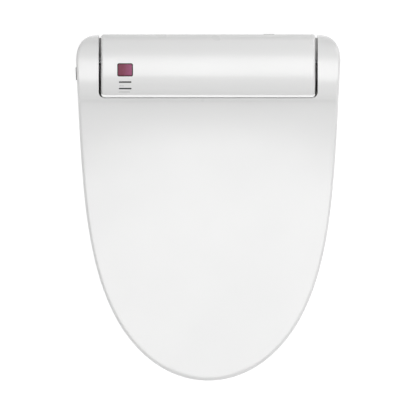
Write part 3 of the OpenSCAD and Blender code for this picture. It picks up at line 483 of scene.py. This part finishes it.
class BIDET_OT_marks(bpy.types.Operator):
    """Build the two faint printed lines of plain dashes in front of the lamps"""
    bl_idname = "bidet.marks"
    bl_label = "Printed marks"

    def execute(self, context):
        left = LENS_X - LENS_LONG / 2
        for number, (row, count, tall) in enumerate(MARKS):
            along = (left, left + DASH_PITCH * count - DASH_GAP)
            line = add_rod_x("printed_line_%d" % (number + 1), BARREL_R + PRINT_PROUD, along,
                             HINGE_Y, HINGE_Z, PRINT_SIDES)
            cut(line, add_block("row", (-200, 0), (row - tall / 2, row + tall / 2), (120, 200)), "INTERSECT")
            for k in range(1, count):
                x = left + DASH_PITCH * k
                cut(line, add_block("space", (x - DASH_GAP, x), (-100, 100), (100, 200)))
            cut(line, add_rod_x("under", BARREL_R - PRINT_DEEP, (-200, 0), HINGE_Y, HINGE_Z, PRINT_SIDES))
            smooth(line, 30)
            hand_over(line, "housing", "lens_grey", look("print_grey"))
        return {"FINISHED"}


# ------------------------------------------------------------------ the seat ring

SEAT_INSET = 5.0
SEAT_LOW = 19.0
OPENING = (0.0, -232.0, 104.0, 136.0)           # middle x and y, half-width and half-length
OPENING_POWER = 2.4
SEAT_REAR = -58.0
SEAT_FRONT_Z, SEAT_RISE, SEAT_RISE_LONG = 44, 20, 374
SEAT_DISH = 2.2
OUTER_R, INNER_R = 11.0, 14.0
SEAT_AROUND = 176
SEAT_GAPS = (0.0, 0.15, 0.6, 1.4, 2.6, 4.2, 6.4, 9.0, 12.5)
SEAT_SHARES = (0.08, 0.16, 0.26, 0.38, 0.5, 0.62, 0.74, 0.84, 0.92)
ARM_SLOT = ((-10, 90), (-80.4, 90), (-80.4, 10), (-60, 10), (-60, 30), (-10, 30))
ARM_SLOT_X = (163.6, 172.4)


def seat_height(y):
    """Height of the ring's top surface."""
    return SEAT_FRONT_Z + SEAT_RISE * (y - FRONT) / SEAT_RISE_LONG


def opening_point(angle):
    """A point on the edge of the ring's opening."""
    c, s = math.cos(angle), math.sin(angle)
    return (OPENING[0] + math.copysign(OPENING[2] * abs(c) ** (2 / OPENING_POWER), c),
            OPENING[1] + math.copysign(OPENING[3] * abs(s) ** (2 / OPENING_POWER), s))


def rim_point(start):
    """Where a ray from the opening's centre through start meets the ring's outer outline."""
    dx, dy = start[0] - OPENING[0], start[1] - OPENING[1]
    length = math.hypot(dx, dy)
    dx, dy = dx / length, dy / length
    low, high = length, 460.0
    for _ in range(44):
        t = (low + high) / 2
        x, y = OPENING[0] + dx * t, OPENING[1] + dy * t
        inside = y < SEAT_REAR and y > FRONT + SEAT_INSET and abs(x) < half_width(y, SEAT_INSET)
        low, high = (t, high) if inside else (low, t)
    return OPENING[0] + dx * low, OPENING[1] + dy * low


def seat_section(angle):
    """The ring's cross-section on one ray: its top from the opening outwards, then its flat bottom."""
    start = opening_point(angle)
    end = rim_point(start)
    width = math.hypot(end[0] - start[0], end[1] - start[1])
    middle = width - 2 * SEAT_GAPS[-1]
    steps = list(SEAT_GAPS) + [SEAT_GAPS[-1] + middle * share for share in SEAT_SHARES]
    steps += [width - gap for gap in reversed(SEAT_GAPS)]
    section = []
    for gap in steps:
        share = gap / width
        x, y = start[0] + (end[0] - start[0]) * share, start[1] + (end[1] - start[1]) * share
        height = seat_height(y) - SEAT_DISH * math.sin(math.pi * share)
        height -= round_drop(gap, INNER_R) + round_drop(width - gap, OUTER_R)
        section.append((x, y, height))
    return section + [(end[0], end[1], SEAT_LOW), (start[0], start[1], SEAT_LOW)]


class BIDET_OT_seat(bpy.types.Operator):
    """Build the heated seat ring's smooth upper shell"""
    bl_idname = "bidet.seat"
    bl_label = "Seat ring"

    def execute(self, context):
        sections = [seat_section(2 * math.pi * (k + 0.5) / SEAT_AROUND) for k in range(SEAT_AROUND)]
        clear_selection()
        bpy.ops.mesh.primitive_torus_add(major_segments=SEAT_AROUND, minor_segments=len(sections[0]),
                                         major_radius=0.16, minor_radius=0.03)
        ring = named("seat_ring")
        coords = [point for section in sections for point in section]
        ring.data.vertices.foreach_set("co", (np.array(coords) * MM).ravel())
        focus(ring)
        bpy.ops.object.mode_set(mode="EDIT")
        bpy.ops.mesh.select_all(action="SELECT")
        bpy.ops.mesh.normals_make_consistent(inside=False)
        leave_edit()
        cut(ring, add_rod_x("barrel", BARREL_R + 2, (-220, 220), HINGE_Y, HINGE_Z, 256))
        cut(ring, add_block("arch", (-100, 100), (-110, 0), (-10, 32)))
        for side in (-1, 1):
            x = ordered(side * ARM_SLOT_X[0], side * ARM_SLOT_X[1])
            cut(ring, add_profile("arm_slot", ARM_SLOT, x))
        smooth(ring, 30)
        hand_over(ring, "seat", "white_gloss", look("seat_white"), "seat_top_shell")
        return {"FINISHED"}


# ------------------------------------------------------------------ the side button

CAP_FRONT_X = -191.0             # the outer face's front edge, where the cap is thinnest
CAP_EDGE = 0.6
GRIP_LINES, GRIP_PITCH, GRIP_WIDE, GRIP_DEEP = 3, 3.2, 0.7, 0.9


class BIDET_OT_side_button(bpy.types.Operator):
    """Build the side button's tapering cap with its grip lines"""
    bl_idname = "bidet.side_button"
    bl_label = "Side button"

    def execute(self, context):
        low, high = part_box("side_button")
        low, high = [v / MM for v in low], [v / MM for v in high]
        cap = add_block("side_button_cap", (low[0], high[0]), (low[1], high[1]), (low[2], high[2]))
        for vertex in cap.data.vertices:
            if vertex.co.x < (low[0] + 1) * MM and vertex.co.y < (low[1] + 1) * MM:
                vertex.co.x = CAP_FRONT_X * MM
        pick(cap, lambda c: abs(c[0][0] - c[1][0]) > 2 or c[:, 0].mean() < -189, "EDGE")
        bpy.ops.mesh.bevel(offset=CAP_EDGE * MM, segments=5, affect="EDGES")
        leave_edit()
        middle = (low[1] + high[1]) / 2
        for k in range(GRIP_LINES):
            y = middle + GRIP_PITCH * (k - 1)
            cut(cap, add_block("grip_line", (-200, low[0] + GRIP_DEEP),
                               (y - GRIP_WIDE / 2, y + GRIP_WIDE / 2), (11, 19)))
        smooth(cap, 40)
        hand_over(cap, "side_button", "black_plastic", look("button_black"), "side_button")
        return {"FINISHED"}


# ------------------------------------------------------------------ finishes

def add_group(name, inputs, outputs):
    """An empty shader node group with its sockets made."""
    group = bpy.data.node_groups.new(name, "ShaderNodeTree")
    for label, kind, default in inputs:
        socket = group.interface.new_socket(name=label, in_out="INPUT", socket_type=kind)
        if default is not None:
            socket.default_value = default
    for label, kind in outputs:
        group.interface.new_socket(name=label, in_out="OUTPUT", socket_type=kind)
    start = group.nodes.new("NodeGroupInput")
    end = group.nodes.new("NodeGroupOutput")
    start.location, end.location = (-900, 0), (500, 0)
    return group, start, end


def noise(group, scale, detail=2.0, roughness=0.5):
    node = group.nodes.new("ShaderNodeTexNoise")
    node.inputs["Scale"].default_value = scale
    node.inputs["Detail"].default_value = detail
    node.inputs["Roughness"].default_value = roughness
    return node


def spread(group, source, low, high, out_low=0.0, out_high=1.0):
    node = group.nodes.new("ShaderNodeMapRange")
    node.inputs["From Min"].default_value = low
    node.inputs["From Max"].default_value = high
    node.inputs["To Min"].default_value = out_low
    node.inputs["To Max"].default_value = out_high
    group.links.new(source, node.inputs["Value"])
    return node.outputs["Result"]


def mix_colour(group, factor, first, second):
    node = group.nodes.new("ShaderNodeMix")
    node.data_type = "RGBA"
    group.links.new(factor, node.inputs["Factor"])
    for source, socket in ((first, node.inputs[6]), (second, node.inputs[7])):
        if isinstance(source, tuple):
            socket.default_value = source
        else:
            group.links.new(source, socket)
    return node.outputs[2]


def sum_of(group, first, second):
    node = group.nodes.new("ShaderNodeMath")
    node.operation = "ADD"
    for source, socket in zip((first, second), node.inputs):
        group.links.new(source, socket)
    return node.outputs[0]


def texture_place(group):
    return group.nodes.new("ShaderNodeTexCoord").outputs["Object"]


SURFACE_OUTPUTS = (("Colour", "NodeSocketColor"), ("Roughness", "NodeSocketFloat"),
                   ("Height", "NodeSocketFloat"))


def moulding_group():
    """Injection-moulded plastic: faint flow tone, fine orange peel, a little settled dust."""
    group, start, end = add_group("moulding", [
        ("Base", "NodeSocketColor", (0.8, 0.8, 0.8, 1)), ("Tint", "NodeSocketColor", (0.7, 0.7, 0.7, 1)),
        ("Roughness", "NodeSocketFloat", 0.3), ("Grain", "NodeSocketFloat", 900.0)],
        SURFACE_OUTPUTS)
    place = texture_place(group)
    flow = noise(group, 9.0, 3.0)
    group.links.new(place, flow.inputs["Vector"])
    grain = noise(group, 900.0, 2.0)
    group.links.new(place, grain.inputs["Vector"])
    group.links.new(start.outputs["Grain"], grain.inputs["Scale"])
    dust = noise(group, 2600.0, 1.0)
    group.links.new(place, dust.inputs["Vector"])
    tone = spread(group, flow.outputs["Fac"], 0.35, 0.7)
    colour = mix_colour(group, tone, start.outputs["Base"], start.outputs["Tint"])
    group.links.new(colour, end.inputs["Colour"])
    uneven = spread(group, flow.outputs["Fac"], 0.3, 0.7, -0.03, 0.04)
    speck = spread(group, dust.outputs["Fac"], 0.66, 0.74, 0.0, 0.06)
    rough = sum_of(group, sum_of(group, start.outputs["Roughness"], uneven), speck)
    group.links.new(rough, end.inputs["Roughness"])
    group.links.new(grain.outputs["Fac"], end.inputs["Height"])
    return group


def machining_group():
    """Turned or drawn metal: fine parallel scratches and a faint tarnish."""
    group, start, end = add_group("machining", [
        ("Base", "NodeSocketColor", (0.6, 0.6, 0.6, 1)), ("Tint", "NodeSocketColor", (0.5, 0.5, 0.5, 1)),
        ("Roughness", "NodeSocketFloat", 0.3)],
        SURFACE_OUTPUTS)
    place = texture_place(group)
    stretch = group.nodes.new("ShaderNodeMapping")
    stretch.inputs["Scale"].default_value = (60.0, 1400.0, 1400.0)
    group.links.new(place, stretch.inputs["Vector"])
    lines = noise(group, 1.0, 3.0)
    group.links.new(stretch.outputs["Vector"], lines.inputs["Vector"])
    tarnish = noise(group, 60.0, 4.0)
    group.links.new(place, tarnish.inputs["Vector"])
    tone = spread(group, tarnish.outputs["Fac"], 0.45, 0.75)
    colour = mix_colour(group, tone, start.outputs["Base"], start.outputs["Tint"])
    group.links.new(colour, end.inputs["Colour"])
    uneven = spread(group, lines.outputs["Fac"], 0.3, 0.7, -0.06, 0.1)
    group.links.new(sum_of(group, start.outputs["Roughness"], uneven), end.inputs["Roughness"])
    group.links.new(lines.outputs["Fac"], end.inputs["Height"])
    return group


def pane_with_painted_sheen_group():
    """Tinted window with a painted sheen: deeper at its left side, painted lighter and pinker to the right,
    as a reflection of the light would make it.
    """
    group, start, end = add_group("pane_with_painted_sheen", [
        ("Base", "NodeSocketColor", (0.2, 0.05, 0.1, 1)), ("Tint", "NodeSocketColor", (0.3, 0.1, 0.2, 1)),
        ("Roughness", "NodeSocketFloat", 0.3)],
        SURFACE_OUTPUTS)
    place = texture_place(group)
    axes = group.nodes.new("ShaderNodeSeparateXYZ")
    group.links.new(place, axes.inputs[0])
    half = WINDOW[2] / 2
    # painted sheen: this ramp across x paints the pane lighter and pinker towards its right edge, where the
    # light falls
    painted_sheen_ramp = spread(group, axes.outputs["X"], (WINDOW[0] - half / 3) * MM, (WINDOW[0] + half) * MM)
    cloud = noise(group, 260.0, 1.0)
    group.links.new(place, cloud.inputs["Vector"])
    uneven = spread(group, cloud.outputs["Fac"], 0.3, 0.7, -0.08, 0.08)
    # the painted sheen ramp plus a random cloudy unevenness of the tint
    tone = sum_of(group, painted_sheen_ramp, uneven)
    colour = mix_colour(group, tone, start.outputs["Base"], start.outputs["Tint"])
    group.links.new(colour, end.inputs["Colour"])
    group.links.new(start.outputs["Roughness"], end.inputs["Roughness"])
    group.links.new(cloud.outputs["Fac"], end.inputs["Height"])
    return group


def board_group():
    """Printed board: lighter tracks in a grid under the varnish, with bright pads."""
    group, start, end = add_group("board", [
        ("Base", "NodeSocketColor", (0.02, 0.2, 0.08, 1)),
        ("Track", "NodeSocketColor", (0.05, 0.32, 0.14, 1))],
        SURFACE_OUTPUTS)
    place = texture_place(group)
    bricks = group.nodes.new("ShaderNodeTexBrick")
    bricks.inputs["Scale"].default_value = 90.0
    bricks.inputs["Mortar Size"].default_value = 0.06
    bricks.inputs["Color1"].default_value = (0.1, 0.1, 0.1, 1)
    bricks.inputs["Color2"].default_value = (0.0, 0.0, 0.0, 1)
    bricks.inputs["Mortar"].default_value = (1, 1, 1, 1)
    group.links.new(place, bricks.inputs["Vector"])
    pads = group.nodes.new("ShaderNodeTexVoronoi")
    pads.inputs["Scale"].default_value = 260.0
    group.links.new(place, pads.inputs["Vector"])
    dots = spread(group, pads.outputs["Distance"], 0.16, 0.12)
    track = mix_colour(group, bricks.outputs["Fac"], start.outputs["Base"], start.outputs["Track"])
    group.links.new(mix_colour(group, dots, track, (0.55, 0.5, 0.4, 1)), end.inputs["Colour"])
    group.links.new(spread(group, dots, 0.0, 1.0, 0.45, 0.25), end.inputs["Roughness"])
    group.links.new(bricks.outputs["Fac"], end.inputs["Height"])
    return group


# name: group, base, tint, roughness, grain scale, bump distance in mm, metallic, coat weight
LOOKS = {
    "shell_white": ("moulding", (0.79, 0.79, 0.787), (0.775, 0.776, 0.774), 0.3, 700.0, 0.004, 0.0, 0.6),
    "seat_white": ("moulding", (0.80, 0.80, 0.79), (0.78, 0.78, 0.775), 0.28, 700.0, 0.004, 0.0, 0.2),
    "casing_white": ("moulding", (0.72, 0.72, 0.715), (0.69, 0.69, 0.685), 0.42, 1500.0, 0.02, 0.0, 0.0),
    "inner_plastic": ("moulding", (0.6, 0.6, 0.57), (0.54, 0.54, 0.51), 0.5, 1200.0, 0.03, 0.0, 0.0),
    "bezel_black": ("moulding", (0.03, 0.02, 0.017), (0.045, 0.03, 0.025), 0.4, 900.0, 0.003, 0.0, 0.0),
    # the window's tint is the bright end of its painted sheen, not a second colour of the pane
    "window_wine": ("pane_with_painted_sheen", (0.21, 0.05, 0.085), (0.34, 0.1, 0.2), 0.3, 0.0, 0.002, 0.0, 0.0),
    "lens_smoke": ("moulding", (0.05, 0.052, 0.052), (0.07, 0.073, 0.073), 0.35, 900.0, 0.003, 0.0, 0.0),
    "print_grey": ("moulding", (0.42, 0.42, 0.42), (0.48, 0.48, 0.48), 0.5, 900.0, 0.003, 0.0, 0.0),
    "button_black": ("moulding", (0.02, 0.02, 0.022), (0.03, 0.03, 0.032), 0.36, 1300.0, 0.02, 0.0, 0.0),
    "plastic_black": ("moulding", (0.03, 0.03, 0.03), (0.045, 0.045, 0.045), 0.45, 1300.0, 0.03, 0.0, 0.0),
    "plastic_grey": ("moulding", (0.28, 0.28, 0.29), (0.24, 0.24, 0.25), 0.45, 1300.0, 0.03, 0.0, 0.0),
    "rubber_grey": ("moulding", (0.36, 0.36, 0.36), (0.3, 0.3, 0.3), 0.75, 1800.0, 0.05, 0.0, 0.0),
    "wire_black": ("moulding", (0.025, 0.025, 0.025), (0.04, 0.04, 0.04), 0.6, 1500.0, 0.03, 0.0, 0.0),
    "hose_clear": ("moulding", (0.55, 0.6, 0.62), (0.48, 0.54, 0.56), 0.3, 900.0, 0.01, 0.0, 0.2),
    "heater_film": ("moulding", (0.55, 0.25, 0.08), (0.42, 0.18, 0.05), 0.4, 900.0, 0.02, 0.0, 0.0),
    "brass": ("machining", (0.78, 0.58, 0.3), (0.6, 0.43, 0.2), 0.28, 0.0, 0.006, 1.0, 0.0),
    "steel": ("machining", (0.62, 0.62, 0.63), (0.5, 0.5, 0.51), 0.3, 0.0, 0.006, 1.0, 0.0),
    "board_green": ("board", (0.02, 0.16, 0.07), (0.05, 0.28, 0.12), 0.4, 0.0, 0.03, 0.0, 0.2),
}
GROUP_MAKERS = {"moulding": moulding_group, "machining": machining_group, "pane_with_painted_sheen": pane_with_painted_sheen_group,
                "board": board_group}
# Specular level of the duller finishes; all the others have the usual level
SHINE = {"bezel_black": 0.15, "window_wine": 0.12, "lens_smoke": 0.15, "print_grey": 0.2,
         "button_black": 0.25}
USUAL_SHINE = 0.5
COAT_ROUGHNESS = 0.2


def look(name):
    """The named finish, made the first time that it is asked for."""
    if name in bpy.data.materials:
        return bpy.data.materials[name]
    kind, base, tint, rough, grain, bump, metallic, coat = LOOKS[name]
    group = bpy.data.node_groups.get(kind) or GROUP_MAKERS[kind]()
    material = bpy.data.materials.new(name)
    material.use_nodes = True
    tree = material.node_tree
    shader = tree.nodes["Principled BSDF"]
    surface = tree.nodes.new("ShaderNodeGroup")
    surface.node_tree = group
    surface.location = (-420, 0)
    surface.inputs["Base"].default_value = (*base, 1)
    second = "Track" if kind == "board" else "Tint"
    surface.inputs[second].default_value = (*tint, 1)
    if "Roughness" in surface.inputs:
        surface.inputs["Roughness"].default_value = rough
    if "Grain" in surface.inputs:
        surface.inputs["Grain"].default_value = grain
    relief = tree.nodes.new("ShaderNodeBump")
    relief.location = (-200, -260)
    relief.inputs["Distance"].default_value = bump * MM
    relief.inputs["Strength"].default_value = 1.0
    tree.links.new(surface.outputs["Colour"], shader.inputs["Base Color"])
    tree.links.new(surface.outputs["Roughness"], shader.inputs["Roughness"])
    tree.links.new(surface.outputs["Height"], relief.inputs["Height"])
    tree.links.new(relief.outputs["Normal"], shader.inputs["Normal"])
    shader.inputs["Specular IOR Level"].default_value = SHINE.get(name, USUAL_SHINE)
    shader.inputs["Metallic"].default_value = metallic
    shader.inputs["Coat Weight"].default_value = coat
    shader.inputs["Coat Roughness"].default_value = COAT_ROUGHNESS
    material.diffuse_color = (*base, 1)
    return material


NODE_LOOKS = {
    "white_gloss": "shell_white", "white_satin": "casing_white", "inner_plastic": "inner_plastic",
    "dark_bezel": "bezel_black", "window_red": "window_wine", "lens_grey": "lens_smoke",
    "board_green": "board_green", "black_plastic": "plastic_black", "grey_plastic": "plastic_grey",
    "grey_rubber": "rubber_grey", "brass": "brass", "steel": "steel", "heater_film": "heater_film",
    "wire_black": "wire_black", "hose": "hose_clear",
}


class BIDET_OT_finishes(bpy.types.Operator):
    """Give every node of the frame the finish of its material slot"""
    bl_idname = "bidet.finishes"
    bl_label = "Finishes"

    def execute(self, context):
        slots = {row["node"]: row["material_slot"] for row in frame["record"]["subparts"]}
        for node, piece in frame["nodes"].items():
            material = look(NODE_LOOKS[slots[node]])
            piece.data.materials.clear()
            piece.data.materials.append(material)
        return {"FINISHED"}


# ------------------------------------------------------------------ the studio
# All lengths in metres, apart from the camera's sensor and lens, which are in millimetres.

VIEW_CENTRE = (-0.0003, -0.1858)
VIEW_WIDTH = 0.599
CAMERA_HEIGHT = 20.0
LID_LEVEL = 0.11
SENSOR_WIDTH = 36
FLOOR_TONES = (0.26, 0.28)


def area_light(name, place, aim, size, power):
    clear_selection()
    bpy.ops.object.light_add(type="AREA", location=place)
    lamp = bpy.context.object
    lamp.name = name
    lamp.data.shape = "RECTANGLE"
    lamp.data.size, lamp.data.size_y = size
    lamp.data.energy = power
    direction = np.array(aim) - np.array(place)
    direction = direction / np.linalg.norm(direction)
    turn = math.atan2(direction[1], direction[0]) - math.pi / 2
    lamp.rotation_euler = (math.acos(-direction[2]), 0, turn)


def add_floor(glow):
    """A plain pale floor that gives off some light of its own."""
    clear_selection()
    bpy.ops.mesh.primitive_plane_add(size=12, location=(0, 0, 0))
    floor = named("studio_floor")
    material = bpy.data.materials.new("floor_paper")
    material.use_nodes = True
    tree = material.node_tree
    shader = tree.nodes["Principled BSDF"]
    place = texture_place(tree)
    fibre = noise(tree, 3.0)
    tree.links.new(place, fibre.inputs["Vector"])
    tree.links.new(spread(tree, fibre.outputs["Fac"], 0.0, 1.0, *FLOOR_TONES), shader.inputs["Base Color"])
    shader.inputs["Roughness"].default_value = 0.9
    shader.inputs["Emission Color"].default_value = (1, 1, 1, 1)
    shader.inputs["Emission Strength"].default_value = glow
    floor.data.materials.append(material)


def add_air(scene, strength):
    """Even white light from all round."""
    world = bpy.data.worlds.new("studio_air")
    world.use_nodes = True
    background = world.node_tree.nodes["Background"]
    background.inputs["Color"].default_value = (1, 1, 1, 1)
    background.inputs["Strength"].default_value = strength
    scene.world = world


def add_camera(scene):
    """A camera high above the lid, looking straight down."""
    clear_selection()
    bpy.ops.object.camera_add(location=(*VIEW_CENTRE, CAMERA_HEIGHT), rotation=(0, 0, 0))
    camera = bpy.context.object
    camera.name = "overhead_camera"
    camera.data.sensor_width = SENSOR_WIDTH
    camera.data.lens = SENSOR_WIDTH * (CAMERA_HEIGHT - LID_LEVEL) / VIEW_WIDTH
    camera.data.clip_end = 50
    scene.camera = camera


class BIDET_OT_studio(bpy.types.Operator):
    """Set the floor, the soft light and the camera that looks straight down"""
    bl_idname = "bidet.studio"
    bl_label = "Studio"

    def execute(self, context):
        tools = context.scene.bidet
        add_floor(tools.floor_glow)
        add_air(context.scene, tools.air_light)
        area_light("top_softbox", (0.5, -0.7, 3.6), (0.5, -0.7, 0.0), (2.4, 5.6), tools.top_light)
        area_light("rear_softbox", (1.6, 1.8, 2.2), (0, -0.1, 0.1), (1.6, 1.2), tools.side_light)
        add_camera(context.scene)
        context.scene.view_settings.view_transform = "Standard"
        return {"FINISHED"}


# ------------------------------------------------------------------ the add-on

class BidetSettings(bpy.types.PropertyGroup):
    """Sizes and light levels that may be changed before building."""
    cover_edge: FloatProperty(name="Cover edge", description="Rounding of the cover's two ends",
                              default=0.0035, unit="LENGTH")
    top_light: FloatProperty(name="Top light", description="Power of the overhead softbox", default=134.0)
    side_light: FloatProperty(name="Rear light", description="Power of the softbox at the rear right",
                              default=18.0)
    air_light: FloatProperty(name="Air light", description="Strength of the light from all round",
                             default=0.15)
    floor_glow: FloatProperty(name="Floor glow", description="Light given off by the floor", default=0.85)


OPERATORS = (BIDET_OT_finishes, BIDET_OT_lid, BIDET_OT_cover, BIDET_OT_marks, BIDET_OT_seat,
             BIDET_OT_side_button, BIDET_OT_studio)


class BIDET_PT_panel(bpy.types.Panel):
    """Buttons for each piece of the bidet seat"""
    bl_idname = "BIDET_PT_panel"
    bl_label = "Bidet seat"
    bl_space_type = "VIEW_3D"
    bl_region_type = "UI"
    bl_category = "Bidet seat"

    def draw(self, context):
        tools = context.scene.bidet
        for name in tools.bl_rna.properties.keys():
            if name not in ("rna_type", "name"):
                self.layout.prop(tools, name)
        for operator in OPERATORS:
            self.layout.operator(operator.bl_idname)


CLASSES = (BidetSettings, *OPERATORS, BIDET_PT_panel)


def register():
    for item in CLASSES:
        bpy.utils.register_class(item)
    bpy.types.Scene.bidet = PointerProperty(type=BidetSettings)


def unregister():
    del bpy.types.Scene.bidet
    for item in reversed(CLASSES):
        bpy.utils.unregister_class(item)


def main():
    register()
    bpy.ops.bidet.finishes()
    bpy.ops.bidet.lid()
    bpy.ops.bidet.cover()
    bpy.ops.bidet.marks()
    bpy.ops.bidet.seat()
    bpy.ops.bidet.side_button()
    bpy.ops.bidet.studio()


if __name__ == "__main__":
    main()
